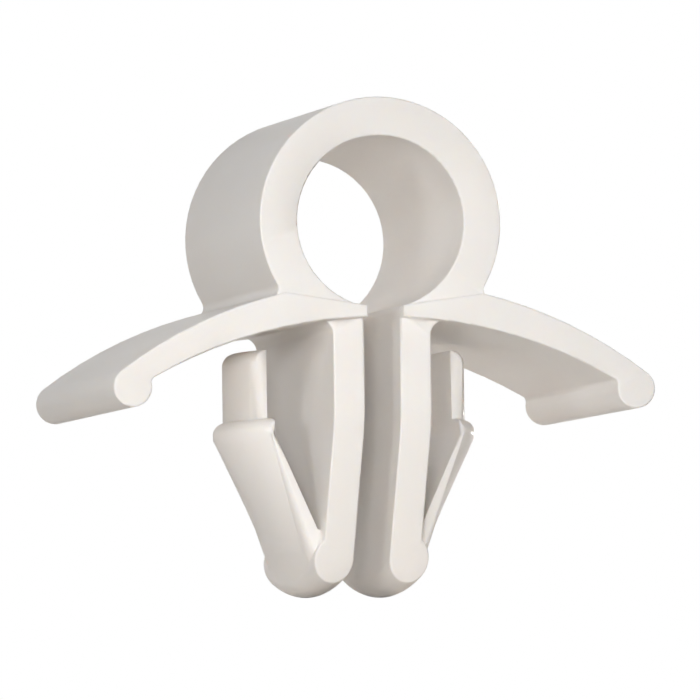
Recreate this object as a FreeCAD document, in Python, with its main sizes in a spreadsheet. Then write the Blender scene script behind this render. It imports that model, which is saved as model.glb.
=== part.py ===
import FreeCAD, Part
import math
import os

import Sketcher

# A push-in wire routing clip, moulded in one piece. X runs across the spring wings, Y along the wire and
# Z up the stem. The origin is on the stem's axis at the top of the panel, where the beads bear.
# One half is modelled at positive X and mirrored.

# Driving dimensions, in millimetres.
SIZES = (
    ("loop_bore", 5.65, "diameter of the wire bore"),
    ("loop_wall", 1.27, "wall of the wire loop"),
    ("loop_depth", 9.28, "length of the loop and of the stem along the wire"),
    ("loop_rise", 6.10, "centre of the bore above the panel"),
    ("slit_gap", 1.22, "slit through the loop's foot and between the stem halves"),
    ("wing_depth", 10.16, "length of the wings along the wire"),
    ("wing_top_radius", 15.0, "arch of the wings' top"),
    ("wing_top_rise", 4.12, "crown of the top arch above the panel"),
    ("wing_under_radius", 16.2, "arch of the wings' underside"),
    ("wing_under_rise", 2.97, "crown of the underside arch above the panel"),
    ("bead_radius", 0.65, "bead that hangs at each wing tip and bears on the panel"),
    ("stem_thickness", 1.05, "thickness of a stem half"),
    ("taper_drop", 0.40, "depth below the panel at which the stem starts to narrow"),
    ("nose_drop", 6.0, "depth of the nose tip below the panel"),
    ("nose_radius", 0.67, "round nose of a stem half"),
    ("nose_depth", 6.2, "length of the nose along the wire"),
    ("nose_crown", 0.50, "rise of the nose from its middle to its ends"),
    ("nose_bite", 0.04, "depth at which the barb's slope runs inside the round of the nose"),
    ("ledge_drop", 0.20, "depth of the barb's ledge below the panel"),
    ("ledge_radius", 4.33, "outer radius of the barb at its ledge"),
    ("land_height", 0.55, "upright land under the ledge"),
    ("barb_face", 3.16, "flat inner face of barb and tab from the axis"),
    ("barb_width", 5.6, "width of the barb along the wire"),
    ("barb_side_round", 0.06, "rounding of the barb's narrow sides at the top of its slope"),
    ("barb_foot_round", 0.90, "rounding of the barb's sides at the nose"),
    ("vee_drop", 4.06, "depth of the gap between stem and barb below the panel"),
    ("tab_radius", 4.0, "outer radius of the tab that stands in the panel hole"),
    ("tab_rise", 2.08, "top of the tab above the panel"),
    ("tab_width", 3.8, "width of the tab along the wire"),
    ("stem_root_round", 0.48, "fillet between stem and wing"),
    ("loop_foot_round", 0.30, "fillet between loop and wing"),
    ("bead_root_round", 0.20, "fillet between the wing's underside and its bead"),
    ("vee_round", 0.08, "fillet at the bottom of the gap between stem and barb"),
    ("neck_round", 0.12, "fillet between the stem's outer face and the nose"),
    ("taper_round", 4.0, "bend where the stem starts to narrow"),
    ("tab_top_round", 0.40, "rounding of the tab's top"),
    ("ledge_round", 0.40, "rounding of the ledge's rim"),
    ("edge_round", 0.07, "rounding of the moulded outer edges"),
    ("blend_bite", 0.05, "depth at which a sketched fillet runs into the wing or stem"),
)

# Values that follow from the driving dimensions.
WORKED = (
    ("bore_radius", "Sizes.loop_bore / 2"),
    ("loop_radius", "bore_radius + Sizes.loop_wall"),
    ("half_slit", "Sizes.slit_gap / 2"),
    ("stem_face", "half_slit + Sizes.stem_thickness"),
    ("half_loop", "Sizes.loop_depth / 2"),
    ("half_nose", "Sizes.nose_depth / 2"),
    # Where the slit cuts the bore.
    ("slit_lip", "Sizes.loop_rise - sqrt(bore_radius ^ 2 - half_slit ^ 2)"),
    # Wing arches, with centres on the axis, and the bead that the top arch runs into.
    ("top_centre", "Sizes.wing_top_rise - Sizes.wing_top_radius"),
    ("under_centre", "Sizes.wing_under_rise - Sizes.wing_under_radius"),
    ("bead_reach", "Sizes.wing_top_radius - Sizes.bead_radius"),
    ("bead_x", "sqrt(bead_reach ^ 2 - (Sizes.bead_radius - top_centre) ^ 2)"),
    ("bead_top_x", "bead_x * Sizes.wing_top_radius / bead_reach"),
    ("bead_top_z", "top_centre + (Sizes.bead_radius - top_centre) * Sizes.wing_top_radius / bead_reach"),
    ("under_root", "under_centre + sqrt(Sizes.wing_under_radius ^ 2 - half_slit ^ 2)"),
    # How far the loop's foot and the stem's top reach into the wing at the slit.
    ("loop_sunk", "slit_lip - (slit_lip - under_root) / 2"),
    ("stem_sunk", "under_root + (slit_lip - under_root) / 4"),
    # Crease where the underside meets the bead: crossing of two circles.
    ("bead_lift", "Sizes.bead_radius - under_centre"),
    ("crease_span", "sqrt(bead_x ^ 2 + bead_lift ^ 2)"),
    ("crease_along",
     "(Sizes.wing_under_radius ^ 2 - Sizes.bead_radius ^ 2 + crease_span ^ 2) / (2 * crease_span)"),
    ("crease_across", "sqrt(Sizes.wing_under_radius ^ 2 - crease_along ^ 2)"),
    ("crease_x", "(crease_along * bead_x - crease_across * bead_lift) / crease_span"),
    ("crease_z", "under_centre + (crease_along * bead_lift + crease_across * bead_x) / crease_span"),
    # Foot where the loop's outside meets the wing's top.
    ("foot_z",
     "(Sizes.wing_top_radius ^ 2 - loop_radius ^ 2 + Sizes.loop_rise ^ 2 - top_centre ^ 2)"
     " / (2 * (Sizes.loop_rise - top_centre))"),
    ("foot_x", "sqrt(loop_radius ^ 2 - (foot_z - Sizes.loop_rise) ^ 2)"),
    # Fillet between the loop's outside and the wing's top: its centre, and where it leaves each.
    ("foot_near", "loop_radius + Sizes.loop_foot_round"),
    ("foot_far", "Sizes.wing_top_radius + Sizes.loop_foot_round - Sizes.blend_bite"),
    ("foot_round_z",
     "(foot_far ^ 2 - foot_near ^ 2 + Sizes.loop_rise ^ 2 - top_centre ^ 2)"
     " / (2 * (Sizes.loop_rise - top_centre))"),
    ("foot_round_x", "sqrt(foot_near ^ 2 - (foot_round_z - Sizes.loop_rise) ^ 2)"),
    ("foot_up_x", "foot_round_x * loop_radius / foot_near"),
    ("foot_up_z", "Sizes.loop_rise + (foot_round_z - Sizes.loop_rise) * loop_radius / foot_near"),
    ("foot_out_x", "foot_round_x * (foot_far - Sizes.loop_foot_round) / foot_far"),
    ("foot_out_z",
     "top_centre + (foot_round_z - top_centre) * (foot_far - Sizes.loop_foot_round) / foot_far"),
    # Fillet between the stem and the wing's underside.
    ("root_far", "Sizes.wing_under_radius - Sizes.stem_root_round + Sizes.blend_bite"),
    ("root_round_x", "stem_face + Sizes.stem_root_round"),
    ("root_round_z", "under_centre + sqrt(root_far ^ 2 - root_round_x ^ 2)"),
    ("root_out_x", "root_round_x * (root_far + Sizes.stem_root_round) / root_far"),
    ("root_out_z",
     "under_centre + (root_round_z - under_centre) * (root_far + Sizes.stem_root_round) / root_far"),
    # Nose circle, and the crown that bends it along the wire.
    ("nose_x", "half_slit + Sizes.nose_radius"),
    ("nose_z", "Sizes.nose_radius - Sizes.nose_drop"),
    ("neck_z", "nose_z + sqrt(Sizes.nose_radius ^ 2 - (stem_face - nose_x) ^ 2)"),
    ("crown_radius", "(half_nose ^ 2 + Sizes.nose_crown ^ 2) / (2 * Sizes.nose_crown)"),
    ("crown_angle", "2 * asin((half_nose + Sizes.nose_radius) / crown_radius)"),
    ("crown_level", "nose_z + crown_radius"),
    ("nose_end_z", "nose_z + Sizes.nose_crown"),
    # Slope of the barb, tangent to the nose.
    ("land_z", "-Sizes.ledge_drop - Sizes.land_height"),
    ("barb_span", "sqrt((Sizes.ledge_radius - nose_x) ^ 2 + (land_z - nose_z) ^ 2)"),
    ("barb_touch", "Sizes.nose_radius - Sizes.nose_bite"),
    ("barb_angle", "atan((Sizes.ledge_radius - nose_x) / (land_z - nose_z)) - asin(barb_touch / barb_span)"),
    ("touch_x", "nose_x + barb_touch * cos(barb_angle)"),
    ("half_barb", "Sizes.barb_width / 2"),
    ("vee_slope", "(Sizes.barb_face - stem_face) / (Sizes.vee_drop + land_z)"),
    ("vee_mouth", "(touch_x - stem_face) / vee_slope - Sizes.vee_drop"),
    # Fillet at the bottom of the gap: its centre, and where it meets the barb's inner face.
    ("vee_angle", "atan(vee_slope)"),
    ("vee_wall", "stem_face - Sizes.blend_bite"),
    ("vee_round_x", "vee_wall + Sizes.vee_round"),
    ("vee_clear", "Sizes.vee_round + (Sizes.vee_round - Sizes.blend_bite) * cos(vee_angle)"),
    ("vee_round_z", "vee_clear / sin(vee_angle) - Sizes.vee_drop"),
    ("vee_out_x", "vee_round_x + Sizes.vee_round * cos(vee_angle)"),
    ("vee_out_z", "vee_round_z - Sizes.vee_round * sin(vee_angle)"),
    ("barb_side", "sqrt(Sizes.ledge_radius ^ 2 - half_barb ^ 2)"),
    ("tab_side", "sqrt(Sizes.tab_radius ^ 2 - (Sizes.tab_width / 2) ^ 2)"),
    # Rounded sides at the top of the slope: centre of the rounding, and where it meets the outer arc.
    ("side_reach", "Sizes.ledge_radius - Sizes.barb_side_round"),
    ("side_y", "half_barb - Sizes.barb_side_round"),
    ("side_x", "sqrt(side_reach ^ 2 - side_y ^ 2)"),
    ("side_grow", "Sizes.ledge_radius / side_reach"),
    # The same at the nose, where the outer edge follows the crown.
    ("foot_arc", "crown_radius + barb_touch * sin(barb_angle)"),
    ("heel_reach", "foot_arc - Sizes.barb_foot_round"),
    ("heel_y", "half_barb - Sizes.barb_foot_round"),
    ("heel_z", "crown_level - sqrt(heel_reach ^ 2 - heel_y ^ 2)"),
    ("heel_grow", "foot_arc / heel_reach"),
    # Taper of the stem's front and back faces towards the nose.
    ("taper_slope", "(half_loop - half_nose) / (-Sizes.taper_drop - nose_end_z)"),
)

# How an edge is recognised: the steps at which it is tested, and how near its points must lie. The stem's
# outline is compared with straight tapers, so there the match also takes in the bend between them.
EDGE_STEPS = 6
MATCH = 0.005
BEND_MATCH = 0.07

doc = FreeCAD.newDocument("wire_clip")
sheet = doc.addObject("Spreadsheet::Sheet", "Sizes")
worked = doc.addObject("Spreadsheet::Sheet", "Worked")


def fill_sheets():
    """Write the driving dimensions and the values that follow from them, each under its own alias."""
    for row, (name, value, meaning) in enumerate(SIZES, start=1):
        sheet.set(f"A{row}", name)
        sheet.set(f"B{row}", str(value))
        sheet.set(f"C{row}", meaning)
        sheet.setAlias(f"B{row}", name)
    doc.recompute()
    for row, (name, formula) in enumerate(WORKED, start=1):
        worked.set(f"A{row}", name)
        worked.set(f"B{row}", "=" + formula)
        worked.setAlias(f"B{row}", name)
        doc.recompute()


def value(expression):
    """Number that an expression on the sheets gives."""
    result = sheet.evalExpression(expression)
    return float(getattr(result, "Value", result))


fill_sheets()


def new_body(name):
    """Empty body for one portion of a half."""
    body = doc.addObject("PartDesign::Body", name)
    body.AllowCompound = True
    return body


def new_sketch(body, name, role, lift=None):
    """Empty sketch on one of a body's origin planes, raised along its normal by an expression."""
    sketch = body.newObject("Sketcher::SketchObject", name)
    plane = next(item for item in body.Origin.OriginFeatures if item.Role == role)
    sketch.AttachmentSupport = [(plane, "")]
    sketch.MapMode = "FlatFace"
    if lift:
        sketch.setExpression("AttachmentOffset.Base.z", lift)
    return sketch


def fix_point(sketch, geometry, point, place):
    """Tie a point of a sketch to a place given as two expressions."""
    for kind, expression in zip(("DistanceX", "DistanceY"), place):
        index = sketch.addConstraint(Sketcher.Constraint(kind, -1, 1, geometry, point, value(expression)))
        sketch.setExpression(f"Constraints[{index}]", expression)


def outline(sketch, corners, bows=None):
    """Closed outline through corners, each a pair of expressions.

    bows maps a corner's number to the arc that leaves it: its centre as two expressions, its radius
    and whether it turns clockwise. Every other side is straight.
    """
    bows = bows or {}
    points = [FreeCAD.Vector(value(across), value(up), 0) for across, up in corners]
    sides = []
    for number, start in enumerate(points):
        end = points[(number + 1) % len(points)]
        if number in bows:
            middle, radius, clockwise = bows[number]
            centre = FreeCAD.Vector(value(middle[0]), value(middle[1]), 0)
            first, last = (end, start) if clockwise else (start, end)
            circle = Part.Circle(centre, FreeCAD.Vector(0, 0, 1), value(radius))
            arc = Part.ArcOfCircle(circle, circle.parameter(first), circle.parameter(last))
            sides.append((arc, clockwise))
        else:
            sides.append((Part.LineSegment(start, end), False))
    numbers = [sketch.addGeometry(shape, False) for shape, _ in sides]
    for number, (shape, clockwise) in enumerate(sides):
        following = (number + 1) % len(sides)
        leaves = 1 if clockwise else 2
        enters = 2 if sides[following][1] else 1
        joint = Sketcher.Constraint("Coincident", numbers[number], leaves, numbers[following], enters)
        sketch.addConstraint(joint)
    for number, corner in enumerate(corners):
        fix_point(sketch, numbers[number], 2 if sides[number][1] else 1, corner)
    for number, (_, radius, _) in bows.items():
        index = sketch.addConstraint(Sketcher.Constraint("Radius", numbers[number], value(radius)))
        sketch.setExpression(f"Constraints[{index}]", radius)
    return sketch


def pad(body, name, sketch, length, symmetric=False, downwards=False):
    """Pad a sketch by a length given as an expression."""
    feature = body.newObject("PartDesign::Pad", name)
    feature.Profile = sketch
    feature.SideType = "Symmetric" if symmetric else "One side"
    feature.Reversed = downwards
    feature.setExpression("Length", length)
    doc.recompute()
    return feature


def pocket(body, name, sketch):
    """Cut a sketch through the whole body, to both sides of its plane."""
    before = body.Shape.Volume
    feature = body.newObject("PartDesign::Pocket", name)
    feature.Profile = sketch
    feature.SideType = "Symmetric"
    feature.Type = "ThroughAll"
    doc.recompute()
    if feature.Shape.Volume >= before:
        raise RuntimeError(name + " cuts nothing")
    return feature


def segment(body, name, radius, width, side):
    """Plan of the land or the tab: a flat inner face, two narrow sides and an arc about the stem's axis."""
    corners = [
        ("Sizes.barb_face", f"-{width} / 2"),
        (side, f"-{width} / 2"),
        (side, f"{width} / 2"),
        ("Sizes.barb_face", f"{width} / 2"),
    ]
    bows = {1: (("0", "0"), radius, False)}
    return outline(new_sketch(body, name, "XY_Plane", "Worked.land_z"), corners, bows)


def slope_top(body):
    """Plan of the barb at the top of its slope, like the land's but with rounded corners."""
    corners = [
        ("Sizes.barb_face", "-Worked.half_barb"),
        ("Worked.side_x", "-Worked.half_barb"),
        ("Worked.side_x * Worked.side_grow", "-Worked.side_y * Worked.side_grow"),
        ("Worked.side_x * Worked.side_grow", "Worked.side_y * Worked.side_grow"),
        ("Worked.side_x", "Worked.half_barb"),
        ("Sizes.barb_face", "Worked.half_barb"),
    ]
    bows = {
        1: (("Worked.side_x", "-Worked.side_y"), "Sizes.barb_side_round", False),
        2: (("0", "0"), "Sizes.ledge_radius", False),
        3: (("Worked.side_x", "Worked.side_y"), "Sizes.barb_side_round", False),
    }
    return outline(new_sketch(body, "slope_top", "XY_Plane", "Worked.land_z"), corners, bows)


def barb_foot(body):
    """Upright section of the barb where it touches the nose, with its lower edge along the nose's crown."""
    arc_z = "Worked.crown_level - (Worked.crown_level - Worked.heel_z) * Worked.heel_grow"
    corners = [
        ("-Worked.half_barb", "Worked.vee_mouth"),
        ("-Worked.half_barb", "Worked.heel_z"),
        ("-Worked.heel_y * Worked.heel_grow", arc_z),
        ("Worked.heel_y * Worked.heel_grow", arc_z),
        ("Worked.half_barb", "Worked.heel_z"),
        ("Worked.half_barb", "Worked.vee_mouth"),
    ]
    bows = {
        1: (("-Worked.heel_y", "Worked.heel_z"), "Sizes.barb_foot_round", False),
        2: (("0", "Worked.crown_level"), "Worked.foot_arc", False),
        3: (("Worked.heel_y", "Worked.heel_z"), "Sizes.barb_foot_round", False),
    }
    return outline(new_sketch(body, "barb_foot", "YZ_Plane", "Worked.touch_x"), corners, bows)


def make_land(body):
    """Upright land under the ledge."""
    plan = segment(body, "land_plan", "Sizes.ledge_radius", "Sizes.barb_width", "Worked.barb_side")
    pad(body, "land", plan, "Sizes.land_height")


def make_slope(body):
    """Slope of the barb, from the nose up to the land, and its root in the stem."""
    foot = barb_foot(body)
    slope = body.newObject("PartDesign::AdditiveLoft", "slope")
    slope.Profile = foot
    slope.Sections = [slope_top(body)]
    slope.Ruled = True
    doc.recompute()
    pad(body, "barb_root", foot, "Worked.touch_x - Worked.nose_x", downwards=True)
    corners = [
        ("Worked.vee_wall", "Worked.vee_round_z"),
        ("Worked.vee_out_x", "Worked.vee_out_z"),
        ("Worked.touch_x", "Worked.vee_mouth"),
        ("Worked.touch_x", "Worked.land_z"),
        ("Worked.vee_wall", "Worked.land_z"),
    ]
    bows = {0: (("Worked.vee_round_x", "Worked.vee_round_z"), "Sizes.vee_round", False)}
    pocket(body, "vee", outline(new_sketch(body, "vee_section", "XZ_Plane"), corners, bows))


def make_nose(body):
    """Round nose and the foot of the stem half above it, turned about a far axis that crowns the nose."""
    sketch = new_sketch(body, "nose_section", "XZ_Plane")
    top = "Worked.neck_z + Sizes.nose_radius"
    corners = [
        ("Worked.half_slit", top),
        ("Worked.half_slit", "Worked.nose_z"),
        ("Worked.stem_face", "Worked.neck_z"),
        ("Worked.stem_face", top),
    ]
    centre = ("Worked.nose_x", "Worked.nose_z")
    outline(sketch, corners, {1: (centre, "Sizes.nose_radius", False)})
    level = value("Worked.crown_level")
    ends = [FreeCAD.Vector(value(across), level, 0) for across in ("Worked.half_slit", "Worked.stem_face")]
    axis = sketch.addGeometry(Part.LineSegment(*ends), True)
    fix_point(sketch, axis, 1, ("Worked.half_slit", "Worked.crown_level"))
    fix_point(sketch, axis, 2, ("Worked.stem_face", "Worked.crown_level"))
    feature = body.newObject("PartDesign::Revolution", "nose")
    feature.Profile = sketch
    feature.ReferenceAxis = (sketch, ["Axis0"])
    feature.Midplane = True
    feature.setExpression("Angle", "Worked.crown_angle")
    doc.recompute()


def make_stem(body):
    """Stem half, from the wing's underside down into the nose."""
    corners = [
        ("Worked.half_slit", "Worked.nose_end_z"),
        ("Worked.stem_face", "Worked.nose_end_z"),
        ("Worked.stem_face", "Worked.root_round_z"),
        ("Worked.root_out_x", "Worked.root_out_z"),
        ("Worked.root_out_x", "Worked.stem_sunk"),
        ("Worked.half_slit", "Worked.stem_sunk"),
    ]
    bows = {2: (("Worked.root_round_x", "Worked.root_round_z"), "Sizes.stem_root_round", True)}
    section = outline(new_sketch(body, "stem_section", "XZ_Plane"), corners, bows)
    pad(body, "stem", section, "Sizes.loop_depth", symmetric=True)


def taper_stem(body):
    """Cut the stem's front and back faces so that they taper to the nose's ends."""
    bottom = "-2 * Sizes.nose_drop"
    for name, side in (("front_taper", "-1"), ("back_taper", "1")):
        inner = f"{side} * (Worked.half_loop - Worked.taper_slope * (2 * Sizes.nose_drop - Sizes.taper_drop))"
        corners = [
            (f"{side} * Worked.half_loop", "-Sizes.taper_drop"),
            (inner, bottom),
            (f"{side} * Sizes.loop_depth", bottom),
            (f"{side} * Sizes.loop_depth", "-Sizes.taper_drop"),
        ]
        pocket(body, name, outline(new_sketch(body, name + "_side", "YZ_Plane"), corners))


def make_tab(body):
    """Tab that stands on the land, with its inner face flush with the barb's."""
    plan = segment(body, "tab_plan", "Sizes.tab_radius", "Sizes.tab_width", "Worked.tab_side")
    pad(body, "tab", plan, "Sizes.tab_rise - Worked.land_z")


def make_wing(body):
    """Spring wing between its two arches, with the bead at its tip and a root that thins towards the slit."""
    corners = [
        ("Worked.half_slit", "Worked.under_root"),
        ("Worked.crease_x", "Worked.crease_z"),
        ("Worked.bead_top_x", "Worked.bead_top_z"),
        ("Worked.foot_x", "Worked.foot_z"),
        ("Worked.half_slit", "Worked.slit_lip"),
    ]
    bows = {
        0: (("0", "Worked.under_centre"), "Sizes.wing_under_radius", True),
        1: (("Worked.bead_x", "Sizes.bead_radius"), "Sizes.bead_radius", False),
        2: (("0", "Worked.top_centre"), "Sizes.wing_top_radius", False),
    }
    section = outline(new_sketch(body, "wing_section", "XZ_Plane"), corners, bows)
    pad(body, "wing", section, "Sizes.wing_depth", symmetric=True)


def make_loop(body):
    """Half of the wire loop, from the slit round to the top, with its foot sunk in the wing."""
    corners = [
        ("Worked.half_slit", "Worked.slit_lip"),
        ("0", "Sizes.loop_rise + Worked.bore_radius"),
        ("0", "Sizes.loop_rise + Worked.loop_radius"),
        ("Worked.foot_up_x", "Worked.foot_up_z"),
        ("Worked.foot_out_x", "Worked.foot_out_z"),
        ("Worked.half_slit", "Worked.loop_sunk"),
    ]
    centre = ("0", "Sizes.loop_rise")
    bows = {
        0: (centre, "Worked.bore_radius", False),
        2: (centre, "Worked.loop_radius", True),
        3: (("Worked.foot_round_x", "Worked.foot_round_z"), "Sizes.loop_foot_round", False),
    }
    section = outline(new_sketch(body, "loop_section", "XZ_Plane"), corners, bows)
    pad(body, "loop", section, "Sizes.loop_depth", symmetric=True)


def inner_points(edge):
    """Points along an edge, without its ends."""
    first, last = edge.ParameterRange
    return [edge.valueAt(first + (last - first) * step / EDGE_STEPS) for step in range(1, EDGE_STEPS)]


def round_edges(body, name, radius, chosen):
    """Fillet, by a radius given as an expression, the edges whose points all pass a test, ends apart."""
    base = body.Tip
    names = []
    for number, edge in enumerate(base.Shape.Edges, start=1):
        if all(chosen(point) for point in inner_points(edge)):
            names.append(f"Edge{number}")
    if not names:
        raise RuntimeError(name + " finds no edge")
    feature = body.newObject("PartDesign::Fillet", name)
    feature.Base = (base, names)
    feature.setExpression("Radius", radius)
    feature.Refine = False
    doc.recompute()


def near(number, expression):
    """Whether a number is the value of an expression."""
    return abs(number - value(expression)) < MATCH


def on_loop_edge(point):
    """Front and back outlines of the loop, outside and in the bore."""
    reach = math.hypot(point.x, point.z - value("Sizes.loop_rise"))
    on_face = near(abs(point.y), "Worked.half_loop")
    return on_face and (near(reach, "Worked.bore_radius") or near(reach, "Worked.loop_radius"))


def on_bead_root(point):
    """Crease between a wing's underside and its bead."""
    return near(point.x, "Worked.crease_x") and near(point.z, "Worked.crease_z")


def on_wing_edge(point):
    """Front and back outlines of a wing."""
    return near(abs(point.y), "Sizes.wing_depth / 2")


def on_taper_bend(point):
    """Line at which the stem's front and back faces start to narrow."""
    return near(point.z, "-Sizes.taper_drop") and near(abs(point.y), "Worked.half_loop")


def on_stem_edge(point):
    """Front and back outlines of a stem half and its nose, below the wing."""
    below_panel = max(0, -value("Sizes.taper_drop") - point.z)
    face = value("Worked.half_loop") - value("Worked.taper_slope") * below_panel
    under_wing = math.hypot(point.x, point.z - value("Worked.under_centre"))
    clear = under_wing < value("Sizes.wing_under_radius") - MATCH
    on_side = near(point.x, "Worked.half_slit") or near(point.x, "Worked.stem_face")
    on_nose = point.z < value("-Sizes.nose_drop / 2")
    return clear and abs(abs(point.y) - face) < BEND_MATCH and (on_side or on_nose)


def on_neck(point):
    """Line along which the nose leaves the stem's outer face."""
    low = point.z < value("-Sizes.nose_drop / 2")
    return low and near(point.x, "Worked.stem_face") and abs(point.y) < value("Worked.half_nose")


def on_ring(level, radius):
    """Test for an arc about the stem's axis, at a level and a radius given as expressions."""
    return lambda point: near(point.z, level) and near(math.hypot(point.x, point.y), radius)


def loop_half():
    """Half of the wire loop, with rounded rims."""
    body = new_body("loop_half")
    make_loop(body)
    round_edges(body, "loop_rims", "Sizes.edge_round", on_loop_edge)
    return body


def wing_half():
    """One spring wing, with rounded outlines."""
    body = new_body("wing_half")
    make_wing(body)
    round_edges(body, "bead_fillet", "Sizes.bead_root_round", on_bead_root)
    round_edges(body, "wing_rims", "Sizes.edge_round", on_wing_edge)
    return body


def stem_half():
    """Stem half with its nose, and rounded front and back outlines."""
    body = new_body("stem_half")
    make_nose(body)
    make_stem(body)
    taper_stem(body)
    round_edges(body, "neck_fillet", "Sizes.neck_round", on_neck)
    round_edges(body, "taper_bends", "Sizes.taper_round", on_taper_bend)
    round_edges(body, "stem_rims", "Sizes.edge_round", on_stem_edge)
    return body


def barb_half():
    """Barb with its ledge and tab."""
    body = new_body("barb_half")
    make_land(body)
    ledge_rim = on_ring("-Sizes.ledge_drop", "Sizes.ledge_radius")
    round_edges(body, "ledge_rounding", "Sizes.ledge_round", ledge_rim)
    make_slope(body)
    make_tab(body)
    tab_rim = on_ring("Sizes.tab_rise", "Sizes.tab_radius")
    round_edges(body, "tab_rounding", "Sizes.tab_top_round", tab_rim)
    return body


def join(name, pieces):
    """Fuse pieces into one solid."""
    fused = doc.addObject("Part::MultiFuse", name)
    fused.Shapes = pieces
    fused.Refine = False
    doc.recompute()
    return fused


def mirrored(name, source):
    """Mirror image of a piece at the other side of the stem's axis."""
    image = doc.addObject("Part::Mirroring", name)
    image.Source = source
    image.Normal = FreeCAD.Vector(1, 0, 0)
    doc.recompute()
    return image


def check_clip(clip):
    """Stop if any feature failed, or if the clip isn't one valid solid."""
    for item in doc.Objects:
        if {"Invalid", "Error"} & set(item.State):
            raise RuntimeError(f"{item.Name} failed: {item.getStatusString()}")
    if clip.Shape.isNull() or not clip.Shape.isValid() or len(clip.Shape.Solids) != 1:
        raise RuntimeError("the clip isn't one valid solid")


half = join("half", [loop_half(), wing_half(), stem_half(), barb_half()])
clip_body = join("clip_body", [half, mirrored("other_half", half)])
clip_body.Label = "clip_body"
check_clip(clip_body)
os.makedirs("parts", exist_ok=True)
clip_body.Shape.exportStep("parts/clip_body.step")
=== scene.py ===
import math

import bmesh
import bpy
from mathutils import Matrix, Vector


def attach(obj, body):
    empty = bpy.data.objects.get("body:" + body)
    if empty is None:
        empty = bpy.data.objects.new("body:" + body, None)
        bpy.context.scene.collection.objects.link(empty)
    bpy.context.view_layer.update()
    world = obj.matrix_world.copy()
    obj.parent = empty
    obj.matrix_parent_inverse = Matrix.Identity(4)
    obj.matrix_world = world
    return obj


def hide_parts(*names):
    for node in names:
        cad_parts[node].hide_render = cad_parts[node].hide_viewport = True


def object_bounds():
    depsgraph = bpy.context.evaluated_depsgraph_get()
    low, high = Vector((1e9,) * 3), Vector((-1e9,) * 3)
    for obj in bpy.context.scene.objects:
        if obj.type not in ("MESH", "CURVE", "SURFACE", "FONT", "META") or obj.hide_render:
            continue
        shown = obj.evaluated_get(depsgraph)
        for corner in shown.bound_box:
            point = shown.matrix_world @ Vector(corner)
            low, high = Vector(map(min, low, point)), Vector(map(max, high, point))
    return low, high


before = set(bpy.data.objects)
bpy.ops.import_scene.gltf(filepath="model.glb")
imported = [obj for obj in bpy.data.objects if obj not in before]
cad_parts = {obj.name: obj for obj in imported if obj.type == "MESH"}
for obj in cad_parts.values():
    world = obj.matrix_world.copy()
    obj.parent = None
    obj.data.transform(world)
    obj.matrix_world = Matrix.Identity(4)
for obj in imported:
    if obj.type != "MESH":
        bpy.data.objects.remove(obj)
cad_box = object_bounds()

MM = 0.001

# The viewpoint: left of the clip's front and a little below it.
VIEW_LEFT = math.radians(16.377)
VIEW_ABOVE = math.radians(-3.594)
VIEW_ROLL = math.radians(-0.798)
VIEW_CENTRE = Vector((0.256, 0.0, 2.197)) * MM
VIEW_DISTANCE = 297.8 * MM
VIEW_WIDTH = 23.16 * MM
SENSOR = 36.0
LENS_NEAR = VIEW_DISTANCE * 0.1
LENS_FAR = VIEW_DISTANCE * 10.0

# Natural nylon, as moulded: off-white, satin, a little translucent.
NYLON = (0.865, 0.826, 0.785)
NYLON_WARM = (0.86, 0.814, 0.767)
NYLON_COOL = (0.87, 0.836, 0.80)
NYLON_ROUGH = (0.40, 0.48)
NYLON_IOR = 1.53
NYLON_SPECULAR = 0.3
NYLON_TRANSLUCENCE = 0.3
NYLON_SOAK = 0.4 * MM
NYLON_SOAK_BY_COLOUR = (1.0, 0.85, 0.65)

# Mottle of the moulded surface. The scales count noise cells in a metre.
CLOUD_SCALE = 180.0
CLOUD_DETAIL = 1.0
CLOUD_WARM_TO_COOL = (0.20, 0.50, 0.80)
FLOW_SCALE = 900.0
FLOW_DETAIL = 1.0
FLOW_BAND = (0.3, 0.7)
FLOW_STRETCH = (1.0, 0.25, 1.0)
GRAIN_SCALE = 9000.0
GRAIN_DETAIL = 2.0
GRAIN_STRENGTH = 0.05
GRAIN_HEIGHT = 0.02 * MM

# Corners of the mesh closer than WELD are one corner, and edges sharper than SHARP stay edges.
WELD = 0.0005 * MM
SHARP = math.radians(32.0)

# Studio. The floor's lift is only seen, directly or in reflections: it casts no light on the clip.
WHITE = (1.0, 1.0, 1.0)
FLOOR_COLOUR = (0.86, 0.82, 0.775)
FLOOR_ROUGH = 0.8
FLOOR_LIFT = 0.50
FLOOR_SPANS = 12.0
SURROUND_COLOUR = (1.0, 0.90, 0.80)
SURROUND_LEVEL = 0.05
KEY_COLOUR = (0.96, 0.98, 1.0)
LAMP_SPANS_AWAY = 6.0
BIG_LAMP_SPANS = (4.0, 4.0)
WIDE_LAMP_SPANS = (1.6, 0.8)
TALL_LAMP_SPANS = (0.8, 1.2)
NO_GRID = math.radians(180.0)
TIGHT_GRID = math.radians(50.0)
LOOSE_GRID = math.radians(60.0)


def rgba(colour):
    return (*colour, 1.0)


def new_material(name):
    material = bpy.data.materials.new(name)
    material.use_nodes = True
    material.node_tree.nodes.clear()
    return material


def add_node(tree, kind, **settings):
    node = tree.nodes.new(kind)
    for key, setting in settings.items():
        setattr(node, key, setting)
    return node


def noise(tree, coordinates, scale, detail):
    """Socket with soft noise over the given coordinates."""
    node = add_node(tree, "ShaderNodeTexNoise")
    node.inputs["Scale"].default_value = scale
    node.inputs["Detail"].default_value = detail
    tree.links.new(coordinates, node.inputs["Vector"])
    return node.outputs["Fac"]


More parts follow.
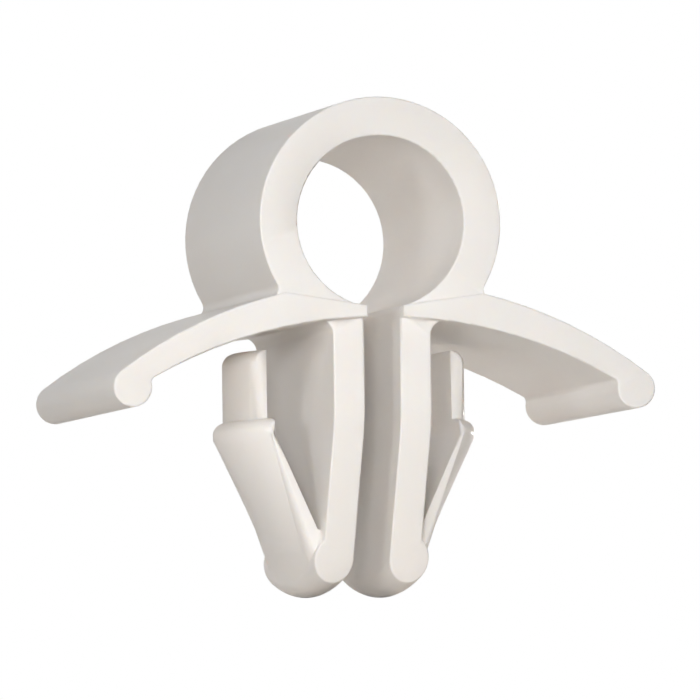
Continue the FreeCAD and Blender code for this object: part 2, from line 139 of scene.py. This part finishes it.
def mottle_group():
    """Faint marks of the moulded nylon: a tint mask, a gloss mask and a finely grained normal."""
    group = bpy.data.node_groups.new("nylon_mottle", "ShaderNodeTree")
    group.interface.new_socket("Tint", in_out="OUTPUT", socket_type="NodeSocketFloat")
    group.interface.new_socket("Gloss", in_out="OUTPUT", socket_type="NodeSocketFloat")
    group.interface.new_socket("Normal", in_out="OUTPUT", socket_type="NodeSocketVector")
    out = add_node(group, "NodeGroupOutput")
    place = add_node(group, "ShaderNodeTexCoord").outputs["Object"]
    group.links.new(noise(group, place, CLOUD_SCALE, CLOUD_DETAIL), out.inputs["Tint"])

    # Flow marks run along the wire.
    stretch = add_node(group, "ShaderNodeMapping")
    stretch.inputs["Scale"].default_value = FLOW_STRETCH
    group.links.new(place, stretch.inputs["Vector"])
    flow = noise(group, stretch.outputs["Vector"], FLOW_SCALE, FLOW_DETAIL)
    group.links.new(flow, out.inputs["Gloss"])

    grain = add_node(group, "ShaderNodeBump")
    grain.inputs["Strength"].default_value = GRAIN_STRENGTH
    grain.inputs["Distance"].default_value = GRAIN_HEIGHT
    group.links.new(noise(group, place, GRAIN_SCALE, GRAIN_DETAIL), grain.inputs["Height"])
    group.links.new(grain.outputs["Normal"], out.inputs["Normal"])
    return group


def nylon_material():
    material = new_material("natural_nylon_moulded")
    tree = material.node_tree
    mottle = add_node(tree, "ShaderNodeGroup", node_tree=mottle_group())

    tint = add_node(tree, "ShaderNodeValToRGB")
    warm_at, plain_at, cool_at = CLOUD_WARM_TO_COOL
    warm, cool = tint.color_ramp.elements
    warm.position = warm_at
    warm.color = rgba(NYLON_WARM)
    cool.position = cool_at
    cool.color = rgba(NYLON_COOL)
    tint.color_ramp.elements.new(plain_at).color = rgba(NYLON)
    tree.links.new(mottle.outputs["Tint"], tint.inputs["Fac"])

    gloss = add_node(tree, "ShaderNodeMapRange")
    gloss.inputs["From Min"].default_value = FLOW_BAND[0]
    gloss.inputs["From Max"].default_value = FLOW_BAND[1]
    gloss.inputs["To Min"].default_value = NYLON_ROUGH[0]
    gloss.inputs["To Max"].default_value = NYLON_ROUGH[1]
    tree.links.new(mottle.outputs["Gloss"], gloss.inputs["Value"])

    plastic = add_node(tree, "ShaderNodeBsdfPrincipled")
    plastic.inputs["IOR"].default_value = NYLON_IOR
    plastic.inputs["Specular IOR Level"].default_value = NYLON_SPECULAR
    plastic.inputs["Subsurface Weight"].default_value = NYLON_TRANSLUCENCE
    plastic.inputs["Subsurface Radius"].default_value = NYLON_SOAK_BY_COLOUR
    plastic.inputs["Subsurface Scale"].default_value = NYLON_SOAK
    tree.links.new(tint.outputs["Color"], plastic.inputs["Base Color"])
    tree.links.new(gloss.outputs["Result"], plastic.inputs["Roughness"])
    tree.links.new(mottle.outputs["Normal"], plastic.inputs["Normal"])
    out = add_node(tree, "ShaderNodeOutputMaterial")
    tree.links.new(plastic.outputs["BSDF"], out.inputs["Surface"])
    return material


def moulded_clip(node_name):
    """The clip's own surface with its seams welded, shaded smooth over its roundings."""
    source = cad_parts[node_name]
    mesh = source.data.copy()
    mesh.name = "moulded_clip"
    shape = bmesh.new()
    shape.from_mesh(mesh)
    bmesh.ops.remove_doubles(shape, verts=shape.verts, dist=WELD)
    bmesh.ops.dissolve_degenerate(shape, edges=shape.edges, dist=WELD)
    for face in shape.faces:
        face.smooth = True
    shape.to_mesh(mesh)
    shape.free()
    mesh.set_sharp_from_angle(angle=SHARP)
    piece = bpy.data.objects.new("moulded_clip", mesh)
    bpy.context.scene.collection.objects.link(piece)
    weigh = piece.modifiers.new("flat_faces_stay_flat", "WEIGHTED_NORMAL")
    weigh.keep_sharp = True
    mesh.materials.clear()
    mesh.materials.append(nylon_material())
    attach(piece, "root")
    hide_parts(node_name)


def looked_at(tree):
    """Socket that is 1 for what is seen directly, in a reflection or through something clear."""
    path = add_node(tree, "ShaderNodeLightPath")
    mirrored = add_node(tree, "ShaderNodeMath", operation="MAXIMUM")
    tree.links.new(path.outputs["Is Camera Ray"], mirrored.inputs[0])
    tree.links.new(path.outputs["Is Glossy Ray"], mirrored.inputs[1])
    through = add_node(tree, "ShaderNodeMath", operation="MAXIMUM")
    tree.links.new(mirrored.outputs["Value"], through.inputs[0])
    tree.links.new(path.outputs["Is Transmission Ray"], through.inputs[1])
    return through.outputs["Value"]


def floor_material():
    """A matt pale card, lifted towards white where it is looked at, and seen through from underneath."""
    material = new_material("pale_floor")
    tree = material.node_tree
    card = add_node(tree, "ShaderNodeBsdfPrincipled")
    card.inputs["Base Color"].default_value = rgba(FLOOR_COLOUR)
    card.inputs["Roughness"].default_value = FLOOR_ROUGH
    card.inputs["Specular IOR Level"].default_value = 0.0

    lift = add_node(tree, "ShaderNodeMath", operation="MULTIPLY")
    lift.inputs[1].default_value = FLOOR_LIFT
    tree.links.new(looked_at(tree), lift.inputs[0])
    glow = add_node(tree, "ShaderNodeEmission")
    tree.links.new(lift.outputs["Value"], glow.inputs["Strength"])
    lifted = add_node(tree, "ShaderNodeAddShader")
    tree.links.new(card.outputs["BSDF"], lifted.inputs[0])
    tree.links.new(glow.outputs["Emission"], lifted.inputs[1])

    clear = add_node(tree, "ShaderNodeBsdfTransparent")
    side = add_node(tree, "ShaderNodeNewGeometry")
    mix = add_node(tree, "ShaderNodeMixShader")
    tree.links.new(side.outputs["Backfacing"], mix.inputs["Fac"])
    tree.links.new(lifted.outputs["Shader"], mix.inputs[1])
    tree.links.new(clear.outputs["BSDF"], mix.inputs[2])
    out = add_node(tree, "ShaderNodeOutputMaterial")
    tree.links.new(mix.outputs["Shader"], out.inputs["Surface"])
    return material


def pale_floor(low, span):
    """A wide floor under the noses."""
    half = span * FLOOR_SPANS
    mesh = bpy.data.meshes.new("pale_floor")
    corners = [(-half, -half, low), (half, -half, low), (half, half, low), (-half, half, low)]
    mesh.from_pydata(corners, [], [(0, 1, 2, 3)])
    mesh.materials.append(floor_material())
    floor = bpy.data.objects.new("pale_floor", mesh)
    bpy.context.scene.collection.objects.link(floor)


def white_surround():
    """White to look at and in reflections, warm and dim as light."""
    world = bpy.data.worlds.new("white_surround")
    bpy.context.scene.world = world
    world.use_nodes = True
    tree = world.node_tree
    tree.nodes.clear()
    light = add_node(tree, "ShaderNodeBackground")
    light.inputs["Color"].default_value = rgba(SURROUND_COLOUR)
    light.inputs["Strength"].default_value = SURROUND_LEVEL
    white = add_node(tree, "ShaderNodeBackground")
    white.inputs["Color"].default_value = rgba(WHITE)
    white.inputs["Strength"].default_value = 1.0
    mix = add_node(tree, "ShaderNodeMixShader")
    tree.links.new(looked_at(tree), mix.inputs["Fac"])
    tree.links.new(light.outputs["Background"], mix.inputs[1])
    tree.links.new(white.outputs["Background"], mix.inputs[2])
    out = add_node(tree, "ShaderNodeOutputWorld")
    tree.links.new(mix.outputs["Shader"], out.inputs["Surface"])


def softbox(name, towards, span, lamp_spans, level, grid=NO_GRID, colour=WHITE):
    """A soft lamp that faces the middle of the clip. A grid narrows its beam, so the floor stays even."""
    reach = span * LAMP_SPANS_AWAY
    lamp = bpy.data.lights.new(name, "AREA")
    lamp.shape = "RECTANGLE"
    lamp.size = span * lamp_spans[0]
    lamp.size_y = span * lamp_spans[1]
    lamp.spread = grid
    lamp.color = colour
    # The power grows with the square of the distance, so a level holds at any reach. A grid gathers
    # the same power into its beam, so a lamp with one has a far lower level.
    lamp.energy = level * math.pi * math.pi * reach * reach
    holder = bpy.data.objects.new(name, lamp)
    holder.visible_camera = False
    bpy.context.scene.collection.objects.link(holder)
    away = Vector(towards).normalized()
    holder.location = VIEW_CENTRE + away * reach
    holder.rotation_euler = away.to_track_quat("Z", "Y").to_euler()
    return holder


def studio_lamps(span):
    """Low gridded lamps for the fronts and sides, and big soft ones above."""
    wide = WIDE_LAMP_SPANS
    from_key = (-0.3, -0.95, 0.07)
    key = softbox("key_softbox", from_key, span, wide, level=0.054, grid=TIGHT_GRID, colour=KEY_COLOUR)
    # The key is low, so a top face would show it as a hard glint from behind.
    key.visible_glossy = False
    softbox("left_softbox", (-0.8, -0.6, 0.07), span, wide, level=0.013, grid=TIGHT_GRID, colour=KEY_COLOUR)
    softbox("left_back_softbox", (-1.0, 0.25, 0.1), span, wide, level=0.005, grid=TIGHT_GRID)
    softbox("back_softbox", (0.6, 0.8, 0.12), span, TALL_LAMP_SPANS, level=0.075, grid=LOOSE_GRID)
    softbox("front_high_softbox", (0.0, -0.7, 0.7), span, BIG_LAMP_SPANS, level=0.05)
    softbox("right_high_softbox", (0.7, 0.0, 0.7), span, BIG_LAMP_SPANS, level=0.16)
    softbox("top_softbox", (0.0, 0.0, 1.0), span, BIG_LAMP_SPANS, level=0.12)


def photo_camera():
    """A long lens at the viewpoint, with the middle of its view just under the wings."""
    back = Vector((
        -math.sin(VIEW_LEFT) * math.cos(VIEW_ABOVE),
        -math.cos(VIEW_LEFT) * math.cos(VIEW_ABOVE),
        math.sin(VIEW_ABOVE),
    ))
    level = Vector((math.cos(VIEW_LEFT), -math.sin(VIEW_LEFT), 0.0))
    rise = back.cross(level)
    right = level * math.cos(VIEW_ROLL) + rise * math.sin(VIEW_ROLL)
    up = rise * math.cos(VIEW_ROLL) - level * math.sin(VIEW_ROLL)
    lens = bpy.data.cameras.new("photo_camera")
    lens.sensor_width = SENSOR
    lens.lens = SENSOR * VIEW_DISTANCE / VIEW_WIDTH
    lens.clip_start = LENS_NEAR
    lens.clip_end = LENS_FAR
    camera = bpy.data.objects.new("photo_camera", lens)
    bpy.context.scene.collection.objects.link(camera)
    camera.location = VIEW_CENTRE + back * VIEW_DISTANCE
    camera.rotation_euler = Matrix((right, up, back)).transposed().to_euler()
    bpy.context.scene.camera = camera


low_corner, high_corner = cad_box
clip_span = high_corner.x - low_corner.x
moulded_clip("clip_body")
pale_floor(low_corner.z, clip_span)
white_surround()
studio_lamps(clip_span)
photo_camera()
bpy.context.scene.view_settings.view_transform = "Standard"
